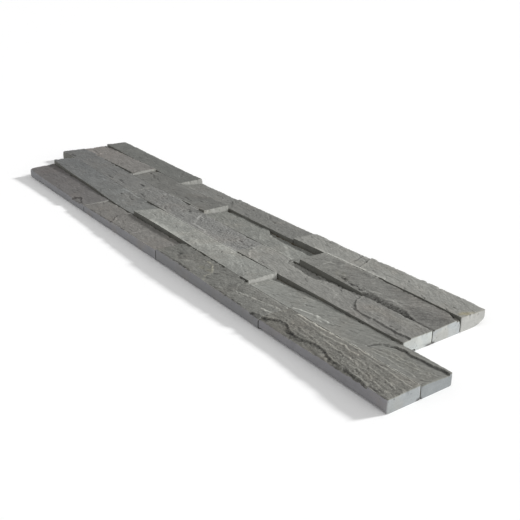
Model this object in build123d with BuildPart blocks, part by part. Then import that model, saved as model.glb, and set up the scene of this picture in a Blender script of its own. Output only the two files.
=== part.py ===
from build123d import *

import os
from dataclasses import dataclass, field

# A slate ledger panel: five rows of sawn strips with riven faces, glued edge to edge.
# It lies face up. +X runs along the rows, +Y from the front row to the back row, +Z up.
# The origin is under the middle of the panel. All sizes are in millimetres.

# Driving dimensions of the panel
ROW_LENGTH = 600.0
END_STEP = 46.0
STRIP_WIDTH = 29.3
BACK_STRIP_WIDTH = 27.4
THICKNESS = 10.0
BED_THICKNESS = 0.7
BUTT_GAP = 0.5
FRONT_ROWS = 2

# Sawn edges and adhesive
ARRIS = 0.8
BED_SETBACK = 1.5
BED_END_INSET = 0.6

# Working room for the cuts: how far a tool stands out past the strip, and how high it reaches
OVERHANG = 1.0
TOOL_HEIGHT = 40.0


@dataclass
class Flake:
    """A layer lost from a riven face.

    The face left behind lies lower by front at the strip's front side and by back at its back
    side, in shares of THICKNESS, with an even tilt between. The line is where the layer broke, in
    shares of the strip's length (from the left end) and width (from the front side). The corners
    are those of the strip that went with the layer, in order from the line's end back to its start.
    """

    front: float
    back: float
    line: list
    corners: tuple = ()


@dataclass
class Scoop:
    """A shallow hollow broken out of a strip's underside at its front side.

    It runs between two shares of the strip's length. Its rise is a share of THICKNESS, and its
    reach a share of the strip's width.
    """

    start: float
    end: float
    rise: float
    reach: float


@dataclass
class BrokenEdge:
    """The rough outer side of a back-row strip: a leaning upper part, a nose and an undercut.

    The undercut is given by how far it stands back from the nose, and at what height. The lean and
    the distances back are shares of the strip's width, and the heights shares of THICKNESS.
    """

    nose_low: float
    nose_high: float
    lean: float
    undercut: list


@dataclass
class Strip:
    """One stone.

    Heights of its riven face run left to right, along the front and back sides, in shares of
    THICKNESS.
    """

    front: list
    back: list
    flakes: list = field(default_factory=list)
    scoops: list = field(default_factory=list)
    edge: BrokenEdge = None
    front_round: float = ARRIS
    back_round: float = ARRIS
    left_round: float = 0.0


@dataclass
class Row:
    """Strips that butt end to end. The joints are shares of the row's length.

    The inset is how far the row's left end stands in from its nominal place, as a share of END_STEP.
    """

    joints: list
    strips: list
    inset: float = 0.0


ROW_1 = [
    Strip(
        front=[1.02, 0.84, 0.8, 0.78, 0.76],
        back=[1.18, 1.06, 0.98, 0.86, 0.78],
        flakes=[
            Flake(
                0.22,
                -0.26,
                [(0.80, -0.05), (0.81, 0.16), (0.835, 0.29), (0.88, 0.20), (0.93, 0.09), (0.98, -0.05)],
            )
        ],
        scoops=[Scoop(start=0.08, end=0.41, rise=0.22, reach=0.34)],
        left_round=5 * ARRIS,
    ),
    Strip(
        front=[0.84, 0.92, 0.96, 1.03],
        back=[0.76, 0.79, 0.77, 0.88],
        flakes=[
            Flake(
                0.07,
                0.07,
                [(0.43, -0.07), (0.39, 0.17), (0.35, 0.34), (0.31, 1.09)],
                ("back_left", "front_left"),
            )
        ],
    ),
    Strip(
        front=[1.12, 1.12, 1.02, 0.96],
        back=[1.04, 1.02, 1, 0.98],
        flakes=[
            Flake(
                0.04,
                0.06,
                [(0.62, 1.09), (0.68, 0.54), (0.73, 0.37), (0.82, 0.49), (0.92, 0.65), (1.01, 0.67)],
                ("back_right",),
            ),
            Flake(0.18, -0.8, [(0.92, -0.05), (0.95, 0.09), (0.98, 0.15), (1.01, 0.17)], ("front_right",)),
        ],
        scoops=[Scoop(start=0.0, end=0.335, rise=0.15, reach=0.41)],
    ),
    Strip(
        front=[1.06, 1.08, 1.09, 1.05],
        back=[0.96, 1.02, 1.07, 1.1],
        flakes=[
            Flake(
                0.23,
                -0.2,
                [(-0.03, 0.08), (0.04, 0.18), (0.075, 0.30), (0.15, 0.355), (0.21, 0.24), (0.33, 0.20),
                 (0.405, 0.30), (0.47, 0.27), (0.53, 0.18), (0.66, 0.125), (0.785, 0.07), (0.90, -0.04)],
                ("front_left",),
            )
        ],
        front_round=2.5 * ARRIS,
    ),
]

ROW_2 = [
    Strip(
        front=[1.66, 1.26, 1.12, 0.82, 0.8],
        back=[1.54, 1.21, 1.05, 0.86, 0.83],
    ),
    Strip(
        front=[1.23, 1.23, 1.15, 1.1],
        back=[0.86, 0.84, 0.86, 1.06],
    ),
    Strip(
        front=[0.8, 0.86, 0.94, 0.98],
        back=[0.65, 0.78, 0.9, 0.98],
        flakes=[
            Flake(
                -0.05,
                0.14,
                [(0.70, -0.08), (0.685, 0.30), (0.694, 0.51), (0.72, 0.65), (0.747, 0.79), (0.78, 0.85),
                 (0.843, 0.82), (0.895, 0.85), (1.01, 0.905)],
                ("front_right",),
            ),
            Flake(
                0.16,
                0.16,
                [(-0.01, 0.77), (0.04, 0.80), (0.08, 0.86), (0.14, 0.92), (0.22, 1.07)],
                ("back_left",),
            ),
        ],
        back_round=2.5 * ARRIS,
    ),
]

ROW_3 = [
    Strip(
        front=[1.22, 1.18, 1.06, 0.96],
        back=[1.17, 1.1, 1.02, 0.98],
        flakes=[Flake(0.06, 0.08, [(0.10, -0.08), (0.09, 0.50), (0.11, 1.08)], ("back_left", "front_left"))],
    ),
    Strip(
        front=[0.95, 0.88, 0.84, 0.88],
        back=[0.98, 0.94, 0.8, 0.78],
    ),
    Strip(
        front=[1, 1.05, 1.08, 1.14],
        back=[0.89, 0.96, 1.04, 1.14],
        flakes=[
            Flake(
                0.09,
                0.09,
                [(0.65, 1.06), (0.66, 0.70), (0.68, 0.53), (0.70, 0.40), (0.72, 0.30), (0.75, 0.26),
                 (0.82, 0.26), (0.90, 0.24), (1.01, 0.27)],
                ("front_right", "front_left", "back_left"),
            ),
            Flake(
                0.24,
                0.24,
                [(0.20, 1.07), (0.215, 0.80), (0.29, 0.755), (0.34, 0.69), (0.39, 0.645), (0.43, 0.71),
                 (0.46, 0.82), (0.54, 0.90), (0.62, 1.07)],
            ),
        ],
        scoops=[Scoop(start=0.90, end=1.10, rise=0.18, reach=0.44)],
    ),
]

ROW_4 = [
    Strip(
        front=[0.98, 1.05, 1.18],
        back=[1, 1.11, 1.22],
    ),
    Strip(
        front=[0.88, 0.92, 1.08],
        back=[1, 0.98, 1.1],
    ),
    Strip(
        front=[0.76, 0.84, 0.82],
        back=[0.56, 0.62, 0.64],
        flakes=[
            Flake(
                0.05,
                0.05,
                [(0.62, -0.07), (0.565, 0.20), (0.50, 0.45), (0.445, 0.67), (0.40, 1.07)],
                ("back_left", "front_left"),
            ),
            Flake(
                0.54,
                0.2,
                [(0.46, 1.07), (0.50, 0.86), (0.55, 0.74), (0.61, 0.69), (0.80, 0.68), (1.01, 0.665)],
                ("back_right",),
            ),
        ],
    ),
    Strip(
        front=[1.26, 1.18, 1.08, 1.08],
        back=[1.18, 1.18, 1.19, 1.18],
        flakes=[
            Flake(
                0.34,
                -1.1,
                [(0.50, -0.05), (0.52, 0.12), (0.54, 0.28), (0.62, 0.30), (0.72, 0.28), (0.80, 0.18),
                 (0.88, -0.05)],
            ),
            Flake(0.14, 0.14, [(0.93, 1.04), (0.96, 0.90), (1.01, 0.86)], ("back_right",)),
        ],
    ),
]

ROW_5 = [
    Strip(
        front=[1.25, 1.1, 1.02, 0.99],
        back=[1.12, 1.1, 1.04, 0.96, 1],
        edge=BrokenEdge(nose_low=0.4, nose_high=0.6, lean=0.182, undercut=[(0.073, 0.14), (0.255, 0)]),
    ),
    Strip(
        front=[0.76, 0.78, 0.76, 0.8],
        back=[0.58, 0.62, 0.66, 0.74],
        flakes=[
            Flake(
                0.03,
                0.15,
                [(0.48, -0.06), (0.45, 0.25), (0.40, 0.50), (0.375, 1.06)],
                ("back_left", "front_left"),
            )
        ],
        edge=BrokenEdge(nose_low=0.18, nose_high=0.32, lean=0.255, undercut=[(0.051, 0.06), (0.146, 0)]),
    ),
    Strip(
        front=[1.02, 1.16, 1.26, 1.26],
        back=[0.99, 1.02, 1.18, 1.19],
        flakes=[
            Flake(
                0.06,
                0.12,
                [(0.45, -0.06), (0.42, 0.36), (0.39, 0.81), (0.38, 1.07)],
                ("back_left", "front_left"),
            )
        ],
        edge=BrokenEdge(
            nose_low=0.7,
            nose_high=0.86,
            lean=0.182,
            undercut=[(0.058, 0.4), (0.248, 0.12), (0.453, 0)],
        ),
    ),
]

ROWS = [
    Row(joints=[0.2517, 0.51, 0.7733], strips=ROW_1),
    Row(joints=[0.3433, 0.6808], strips=ROW_2),
    Row(joints=[0.315, 0.6533], strips=ROW_3),
    Row(joints=[0.225, 0.4833, 0.7417], strips=ROW_4),
    Row(joints=[0.3233, 0.6633], strips=ROW_5, inset=0.0435),
]

# Sizes that follow from the driving dimensions
PANEL_LENGTH = ROW_LENGTH + END_STEP
ROW_PITCH = STRIP_WIDTH + BED_THICKNESS
PANEL_WIDTH = (len(ROWS) - 1) * ROW_PITCH + BACK_STRIP_WIDTH


def row_left(row):
    """X of a row's left end: the front rows stand END_STEP further right than the others."""
    return -PANEL_LENGTH / 2 + (END_STEP if row < FRONT_ROWS else 0.0)


def stones_left(row):
    """X of the left end of a row's first stone."""
    return row_left(row) + ROWS[row].inset * END_STEP


def row_front(row):
    """Y of a row's front side."""
    return -PANEL_WIDTH / 2 + row * ROW_PITCH


def row_width(row):
    """The back row is narrower, because its outer side is broken, not sawn."""
    return BACK_STRIP_WIDTH if row == len(ROWS) - 1 else STRIP_WIDTH


def riven_blank(low, high, strip, front_drop, back_drop):
    """A slab that overhangs the strip's sawn sides, its top lower than the riven face by the drops."""
    sides = ((low.Y - OVERHANG, strip.front, front_drop), (high.Y + OVERHANG, strip.back, back_drop))
    with BuildPart() as blank:
        for y, heights, drop in sides:
            left = low.X - OVERHANG
            spacing = (high.X - low.X + 2 * OVERHANG) / (len(heights) - 1)
            crest = [(left + i * spacing, (height - drop) * THICKNESS) for i, height in enumerate(heights)]
            with BuildSketch(Plane.XZ.offset(-y)):
                with BuildLine():
                    top = Spline(*crest)
                    Polyline(top @ 1, (crest[-1][0], -OVERHANG), (left, -OVERHANG), top @ 0)
                make_face()
        loft(ruled=True)
    return blank.part


def lost_flake(low, high, strip, flake):
    """The stone that a flake leaves out: all above the lowered face, inside the broken line."""
    size = high - low
    corners = {
        "front_left": (low.X - OVERHANG, low.Y - OVERHANG),
        "front_right": (high.X + OVERHANG, low.Y - OVERHANG),
        "back_left": (low.X - OVERHANG, high.Y + OVERHANG),
        "back_right": (high.X + OVERHANG, high.Y + OVERHANG),
    }
    points = [(low.X + along * size.X, low.Y + across * size.Y) for along, across in flake.line]
    with BuildPart() as lost:
        with BuildSketch():
            with BuildLine():
                broken = Spline(*points)
                Polyline(broken @ 1, *(corners[name] for name in flake.corners), broken @ 0)
            make_face()
        extrude(amount=TOOL_HEIGHT)
        add(riven_blank(low, high, strip, flake.front, flake.back), mode=Mode.SUBTRACT)
    return lost.part


def section_outline(low, high, strip):
    """A strip's cross-section in Y and Z: sawn and eased, or broken on its outer side."""
    ease = strip.front_round
    outline = [(low.Y + ease, 0.0), (low.Y + 0.3 * ease, 0.3 * ease), (low.Y, ease), (low.Y, TOOL_HEIGHT)]
    if strip.edge is None:
        ease = strip.back_round
        outline += [(high.Y, TOOL_HEIGHT), (high.Y, ease)]
        return outline + [(high.Y - 0.3 * ease, 0.3 * ease), (high.Y - ease, 0.0)]
    edge = strip.edge
    width = high.Y - low.Y
    nose_high = edge.nose_high * THICKNESS
    nose_low = edge.nose_low * THICKNESS
    outline += [(high.Y - edge.lean * width, TOOL_HEIGHT), (high.Y, nose_high), (high.Y, nose_low)]
    return outline + [(high.Y - back * width, height * THICKNESS) for back, height in edge.undercut]


def riven_strip(name, low, high, strip):
    """One strip: its sawn section, its riven face, and what has broken off it."""
    blank = riven_blank(low, high, strip, 0.0, 0.0)
    lost = [lost_flake(low, high, strip, flake) for flake in strip.flakes]
    length = high.X - low.X
    with BuildPart() as stone:
        with BuildSketch(Plane.YZ.offset(low.X)):
            with BuildLine():
                Polyline(*section_outline(low, high, strip), close=True)
            make_face()
        extrude(amount=length)
        if strip.left_round > 0:
            left_end = stone.edges().group_by(Axis.X)[0]
            fillet(left_end.group_by(Axis.Z)[0], radius=strip.left_round)
        add(blank, mode=Mode.INTERSECT)
        for flake in lost:
            add(flake, mode=Mode.SUBTRACT)
        for scoop in strip.scoops:
            half = (scoop.end - scoop.start) / 2 * length
            middle = low.X + (scoop.start + scoop.end) / 2 * length
            rise = scoop.rise * THICKNESS
            reach = scoop.reach * (high.Y - low.Y)
            radius = (half**2 + rise**2) / (2 * rise)
            with BuildSketch(Plane.XZ.offset(OVERHANG - low.Y)):
                with Locations((middle, rise - radius)):
                    Circle(radius)
            extrude(amount=-(reach + OVERHANG), mode=Mode.SUBTRACT)
    stone.part.label = name
    export_step(stone.part, f"parts/{name}.step")


def adhesive_bed(name, row):
    """The glue between a row and the one behind it, along the length that they share."""
    left = max(stones_left(row), stones_left(row + 1)) + BED_END_INSET
    right = min(row_left(row), row_left(row + 1)) + ROW_LENGTH - BED_END_INSET
    lowest = min(min(strip.back) for strip in ROWS[row].strips)
    lowest = min(lowest, min(min(strip.front) for strip in ROWS[row + 1].strips))
    with BuildPart() as bed:
        with BuildSketch(Plane.XY.offset(ARRIS)):
            with Locations(((left + right) / 2, row_front(row + 1) - BED_THICKNESS / 2)):
                Rectangle(right - left, BED_THICKNESS)
        extrude(amount=lowest * THICKNESS - BED_SETBACK - ARRIS)
    bed.part.label = name
    export_step(bed.part, f"parts/{name}.step")


os.makedirs("parts", exist_ok=True)

for row, stones in enumerate(ROWS):
    left = stones_left(row)
    for number, strip in enumerate(stones.strips, start=1):
        if number <= len(stones.joints):
            right = row_left(row) + stones.joints[number - 1] * ROW_LENGTH - BUTT_GAP
        else:
            right = row_left(row) + ROW_LENGTH
        low = Vector(left, row_front(row), 0.0)
        high = Vector(right, row_front(row) + row_width(row), TOOL_HEIGHT)
        riven_strip(f"row_{row + 1}_strip_{number}", low, high, strip)
        left = right + BUTT_GAP

for row in range(len(ROWS) - 1):
    adhesive_bed(f"adhesive_bed_{row + 1}_{row + 2}", row)
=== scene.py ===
import math
from dataclasses import dataclass

import bpy
import numpy as np
from mathutils import Matrix, Vector
from mathutils.bvhtree import BVHTree


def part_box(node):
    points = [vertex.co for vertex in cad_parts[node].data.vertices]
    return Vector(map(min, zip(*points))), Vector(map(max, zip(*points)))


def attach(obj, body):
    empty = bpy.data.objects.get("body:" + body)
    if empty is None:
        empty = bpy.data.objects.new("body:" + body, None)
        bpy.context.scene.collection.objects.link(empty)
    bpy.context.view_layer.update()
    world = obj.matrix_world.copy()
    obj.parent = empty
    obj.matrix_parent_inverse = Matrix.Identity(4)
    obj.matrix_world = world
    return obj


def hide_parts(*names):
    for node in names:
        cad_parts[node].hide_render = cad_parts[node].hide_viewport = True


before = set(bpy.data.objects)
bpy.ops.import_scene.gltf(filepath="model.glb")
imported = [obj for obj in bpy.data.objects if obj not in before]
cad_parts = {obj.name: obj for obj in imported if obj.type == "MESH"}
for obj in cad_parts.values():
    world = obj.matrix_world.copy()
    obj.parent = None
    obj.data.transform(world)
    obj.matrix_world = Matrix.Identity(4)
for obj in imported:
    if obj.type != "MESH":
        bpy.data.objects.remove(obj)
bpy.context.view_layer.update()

# A slate ledger panel: sawn strips with riven faces, glued edge to edge.
# Each stone is a fine mesh over its CAD strip: the strip gives the sawn sides, the slope of the
# riven face and its large broken layers, and the relief of the cleft stone is added here.
# Lengths are in mm unless another unit is given, and become metres where a mesh is made.

MM = 0.001
STRIPS = sorted(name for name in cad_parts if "strip" in name)
BEDS = sorted(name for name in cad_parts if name.startswith("adhesive"))
RIGHT_ENDS = [max(name for name in STRIPS if name.startswith(f"row_{row}")) for row in range(1, 6)]

# The sides of a strip, and the kinds of face that a stone has
LEFT, RIGHT, FRONT, BACK = 1, 2, 3, 4
RIVEN, SIDE, LEFT_END, RIGHT_END = range(4)

# Mesh: the cell of the riven grid, the cells to a face underneath, and the faces down a sawn side and its
# least height
CELL = 0.55
COARSE = 4
WALL_ROWS = 8
LEAST_WALL = 0.5
SHARP_DEGREES = 50

# Where rays start above and below the strips, how far inside a strip's sides they stay, and how far in
# from the sides the CAD strip's steps become uneven
RAY_TOP = 40.0
RAY_BOTTOM = -5.0
SIDE_INSET = 0.03
CALM_REACH = 4.0

# Camera, fitted to the corners of the panel in the photo, with angles in degrees
CAMERA_MM = (608.0, -376.9, 278.7)
CAMERA_YAW = 54.15
CAMERA_PITCH = 23.2
CAMERA_ROLL = 0.5
CAMERA_NEAR_M = 0.01
FOCAL_PIXELS = 785.0
IMAGE_PIXELS = 520.0
SENSOR_MM = 36.0

# Floor and light: strengths are shares of full white on a surface that faces the light, angles are in degrees
FLOOR_REACH_M = 40.0
FLOOR_WHITE = 0.99
SKY_STRENGTH = 0.515
KEY_LIGHT = {"strength": 1.017, "width": 8, "azimuth": 72, "elevation": 24.5}
SIDE_LIGHT = {"strength": 0.35, "width": 60, "azimuth": 0, "elevation": 12}

# Seeds of the strips
FIRST_SEED = 1000
SEED_STEP = 97


class Pattern:
    """Added to a strip's seed, so that each of its patterns has a noise of its own."""

    SWELL = 0
    LAYERS = 11
    SCUFFS = 15
    RIDGES = 23
    RIDGE_GAPS = 27
    GRAIN = 31
    FINE_GRAIN = 32
    CHIPS = 40
    EDGE_FINE = 41
    EDGE_SLOW = 42
    SMALL_CHIPS = 43
    SHIFT_X = 50
    SMALL_SHIFT_X = 51
    SHIFT_Y = 52
    SMALL_SHIFT_Y = 53
    PATCHES = 61
    BEND = 70
    MARK_SHIFT_X = 80
    MARK_SHIFT_Y = 85
    MARK_FADE = 90


def lattice(ix, iy, seed):
    """A repeatable random number from 0 to 1 for each lattice point."""
    h = ix.astype(np.int64).astype(np.uint32) * np.uint32(374761393)
    h ^= iy.astype(np.int64).astype(np.uint32) * np.uint32(668265263)
    h ^= np.uint32((seed * 2654435761) % 2**32)
    h = (h ^ (h >> np.uint32(13))) * np.uint32(1274126177)
    h ^= h >> np.uint32(16)
    return h.astype(np.float64) / 2**32


def noise(x, y, seed):
    """Smooth gradient noise, about -1 to 1, with one cell to the unit."""
    ix, iy = np.floor(x), np.floor(y)
    fx, fy = x - ix, y - iy
    summed = np.zeros_like(fx)
    fade_x = fx * fx * fx * (fx * (fx * 6 - 15) + 10)
    fade_y = fy * fy * fy * (fy * (fy * 6 - 15) + 10)
    for dx in (0, 1):
        for dy in (0, 1):
            turn = 2 * math.pi * lattice(ix + dx, iy + dy, seed)
            slope = np.cos(turn) * (fx - dx) + np.sin(turn) * (fy - dy)
            weight = (fade_x if dx else 1 - fade_x) * (fade_y if dy else 1 - fade_y)
            summed += weight * slope
    return summed * 1.5


def fractal(x, y, seed, octaves):
    """Noise at several scales, each half as wide and half as strong as the last."""
    summed = np.zeros_like(x)
    for octave in range(octaves):
        scale = 2.0**octave
        summed += noise(x * scale + 17.3 * octave, y * scale - 9.1 * octave, seed + octave) / scale
    return summed


def smoothstep(edge0, edge1, x):
    """A smooth rise from 0 at one edge to 1 at the other."""
    t = np.clip((x - edge0) / (edge1 - edge0), 0.0, 1.0)
    return t * t * (3 - 2 * t)


def terraces(field, riser=0.10):
    """Steps of height 1 with narrow risers, along the contour lines of a field."""
    level = np.floor(field)
    return level + smoothstep(0.5 - riser, 0.5 + riser, field - level)


def fading(distance, reach):
    """A straight fall from 1 at an edge to 0 at this reach."""
    return np.clip(1 - distance / reach, 0, None)


def above(field, least=0):
    """How far a field rises above a level."""
    return np.clip(field - least, 0, None)


def strip_tree(node):
    """The CAD strip's faces, for rays."""
    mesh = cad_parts[node].data
    points = [v.co.copy() for v in mesh.vertices]
    return BVHTree.FromPolygons(points, [tuple(p.vertices) for p in mesh.polygons])


TREES = {name: strip_tree(name) for name in STRIPS}


def ray_hit(tree, x, y, from_above=True):
    """The point, in metres, where a vertical ray at this place first meets the strip, or None."""
    start = RAY_TOP if from_above else RAY_BOTTOM
    towards = Vector((0, 0, -1 if from_above else 1))
    return tree.ray_cast(Vector((x * MM, y * MM, start * MM)), towards)[0]


def cast_heights(tree, xs, ys, from_above=True):
    """Heights where vertical rays at these places meet the strip, which each of them has to."""
    places = zip(xs.ravel(), ys.ravel())
    heights = [ray_hit(tree, x, y, from_above).z / MM for x, y in places]
    return np.array(heights).reshape(xs.shape)


def ring_of(nx, ny):
    """Grid indices around the edge: front, right, back, left."""
    front = [(i, 0) for i in range(nx)]
    right = [(nx, j) for j in range(ny)]
    back = [(i, ny) for i in range(nx, 0, -1)]
    left = [(0, j) for j in range(ny, 0, -1)]
    return front + right + back + left


def around(field, ring):
    """A grid's values around its edge."""
    return np.array([field[j, i] for i, j in ring])


@dataclass
class Style:
    """One strip's riven face: its colour at the left and right ends, the height of its broken layers, small
    scuffs, streaks and grain, the angle of its streaks in degrees, and how strongly fine striae tint it."""

    left: tuple
    right: tuple
    layer: float = 0.10
    scuff: float = 0.06
    streak: float = 0.02
    grain: float = 0.05
    angle: float = 0.0
    striae: float = 0.35


STYLES = {
    "row_1_strip_1": Style((99, 96, 95), (103, 101, 99), grain=0.04, angle=4),
    "row_1_strip_2": Style((110, 108, 104), (115, 113, 109), grain=0.055, angle=-12),
    "row_1_strip_3": Style((104, 104, 99), (113, 113, 108), layer=0.16, scuff=0.10, grain=0.075, angle=14),
    "row_1_strip_4": Style(
        (109, 108, 102), (114, 113, 107), layer=0.16, streak=0.12, grain=0.07, angle=-2, striae=0.55
    ),
    "row_2_strip_1": Style((96, 98, 98), (114, 115, 112), layer=0.13, scuff=0.09, grain=0.055, angle=8),
    "row_2_strip_2": Style((130, 131, 126), (132, 133, 128), scuff=0.10, grain=0.065, angle=-14),
    "row_2_strip_3": Style(
        (131, 132, 127), (114, 114, 109), layer=0.05, scuff=0.03, grain=0.04, angle=24, striae=0.9
    ),
    "row_3_strip_1": Style((98, 99, 98), (110, 110, 107), grain=0.06, angle=6),
    "row_3_strip_2": Style((115, 115, 112), (128, 128, 125), layer=0.14, scuff=0.10, grain=0.08, angle=-10),
    "row_3_strip_3": Style(
        (133, 133, 128), (121, 120, 116), layer=0.11, scuff=0.08, grain=0.045, angle=-12, striae=0.8
    ),
    "row_4_strip_1": Style((122, 118, 114), (117, 115, 111), grain=0.06, angle=-3),
    "row_4_strip_2": Style((105, 105, 101), (105, 105, 101), grain=0.045, angle=10),
    "row_4_strip_3": Style((116, 117, 112), (126, 127, 122), scuff=0.09, grain=0.055, angle=-18, striae=0.6),
    "row_4_strip_4": Style(
        (119, 119, 114), (114, 113, 109), layer=0.10, scuff=0.08, grain=0.055, angle=38, striae=0.9
    ),
    "row_5_strip_1": Style((99, 100, 96), (99, 100, 96), grain=0.05, angle=10),
    "row_5_strip_2": Style((110, 110, 106), (114, 114, 110), grain=0.055, angle=-14),
    "row_5_strip_3": Style(
        (133, 133, 128), (136, 136, 131), layer=0.12, scuff=0.08, grain=0.05, angle=-20, striae=0.7
    ),
}

# Sawn faces: the panel's front, the sides between rows, the ends in the joints, and each row's right end
FRONT_TINTS = ((137, 137, 140), (138, 138, 141), (132, 132, 134), (135, 134, 137))
SIDE_TINT = (114, 114, 108)
JOINT_TINT = (160, 160, 155)
OTHER_JOINTS = {"row_2_strip_2": (174, 174, 169), "row_5_strip_1": (153, 153, 148)}
END_TINTS = ((148, 152, 153), (132, 136, 137), (179, 183, 181), (164, 168, 169), (165, 165, 161))

# Other colours: the olive top rim of the right ends, the painted shade in joints and seams, the resin's dark
# and light, and what brown and rusty places multiply the stone's colour by
RIM_TINT = (110, 106, 84)
PAINTED_SHADE_TINT = (38, 35, 32)
RESIN_TINTS = ((58, 48, 36), (112, 96, 72))
WARM_RIVEN = (1.05, 0.99, 0.95)
WARM_SAWN = (1.05, 0.98, 0.88)
RUST = (1.12, 1.0, 0.66)

# Where neighbouring rows meet flush and the seam hardly shows: for the row in front, stretches of X
# and how nearly closed the seam is there. A stretch fades out towards its ends, and a closed edge
# reaches into the seam
CLOSED_SEAMS = {
    1: ((30, 96, 0.8), (94, 123, 1), (121, 131, 0.7), (131, 324, 1)),
    2: ((-210, -95, 1), (-62, 74, 1)),
    3: ((-195, -74, 1), (-62, -40, 1), (56, 118, 1)),
    4: ((-178, -74, 1), (119, 192, 1)),
}
SEAM_FADE = 4.0
SEAM_FILL = 0.16

# The share of the step between two rows that is eased along the rest of their seam, for the row in front
STEP_EASE = {1: 0.2, 2: 0.4, 3: 0.2, 4: 0.3}

# Edges at a seam move up or down by this much at most, and the stone within this reach goes along. The next
# row's height is taken this far past the edge
FLUSH_MOST = 1.5
FLUSH_REACH = 8.0
FLUSH_PAST = 0.6

# The panel's rough back edge, as row and side. How far in from an edge its fraying shows, and the share
# of a side's height over which it ends
ROUGH_EDGE = (5, BACK)
FRAY_REACH = 4.0
FRAY_WALL_SHARE = 0.4

# Round of the upright corners at the rows' right ends: the panel's own corners, given as row and side, and
# those in the seams. The corner point itself moves in by a share of the radius
CORNER_ROUND = 0.8
SEAM_ROUND = 0.35
OPEN_CORNERS = ((1, FRONT), (2, BACK), (3, FRONT), (5, BACK))
CORNER_INSET = 0.3

# Painted shade at the foot of two seams on the right ends, where the gap under a broken corner lies in
# shadow: the row in front and the shade's width, the share of it on the row behind, and its height
GAP_SHADE_SPOTS = {1: 4.5, 3: 9.0}
GAP_SHADE_BEHIND = 0.4
GAP_SHADE_HEIGHT = 2.6
GAP_SHADE_FULL = 0.2

# Joints between the strips of a row are painted dark inside, as shade: where the painted shade begins and is
# full, below the next strip's top, and how far into that strip its top is taken
JOINT_SHADE_START = 1.0
JOINT_SHADE_FULL = 2.2
JOINT_REACH = 1.5

# What counts as far below the top, away from the right ends
FAR_BELOW = 9.0

# The grain and the depth of a dip at which the colour shows them in full: dips get painted shade, rises a
# painted highlight
GRAIN_FULL = 0.08
RELIEF_SHADE_FULL = 0.2

# Small scattered flaws: the area to one of them in square mm, their half lengths, widths and strengths, and
# the share that is pale
FLAW_AREA = 70
FLAW_REACH = (1, 4.5)
FLAW_WIDTH = (0.5, 1.2)
FLAW_STRENGTH = (0.15, 0.6)
FLAWS_PALE = 0.55


@dataclass
class Mark:
    """A scar, ridge, bruise or stain that the stone shows along a line, or painted shade or a painted
    highlight there: its width and height, how pale and ochre it is, the grain that it adds, and how far it
    softens the CAD strip's steps."""

    line: list
    width: float
    height: float = 0.0
    pale: float = 0.0
    ochre: float = 0.0
    rough: float = 0.0
    soft: float = 0.0


MARK_SUMS = ("height", "pale", "ochre", "rough", "soft")

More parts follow.
